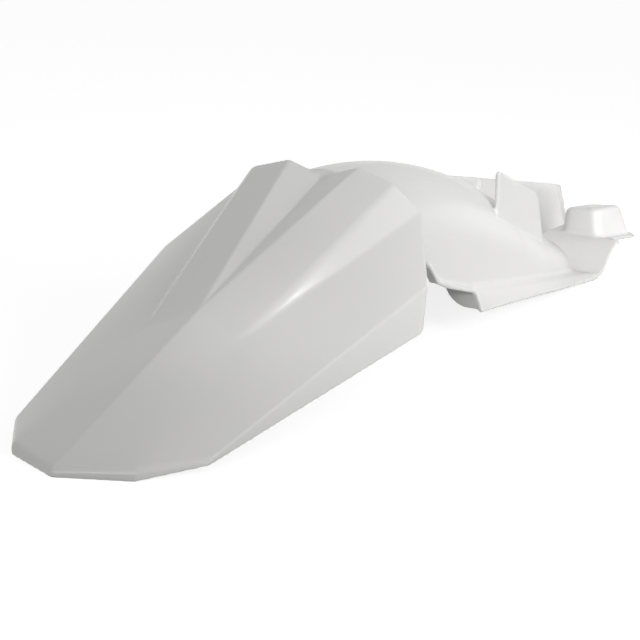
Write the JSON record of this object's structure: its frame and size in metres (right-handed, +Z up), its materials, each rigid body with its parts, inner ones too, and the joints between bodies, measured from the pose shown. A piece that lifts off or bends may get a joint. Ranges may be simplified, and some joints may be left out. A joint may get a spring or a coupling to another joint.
{
  "type": "motorcycle rear fender",
  "caption": "Moulded rear fender for an off-road motorcycle: creased tail with raised peaks, arched wheel tunnel, side skirts, upright fins and a front deck with a hollow box.",
  "frame": {"origin": "centre of the base of the bounding box, on the surface that the fender stands on", "axes": "+X to the front of the motorcycle, +Y to its left, +Z up"},
  "size_m": [0.715, 0.1984, 0.1301],
  "materials": {
    "fender": "satin white moulded polypropylene"
  },
  "bodies": {
    "root": {"rear_fender": "fender"}
  },
  "joints": []
}
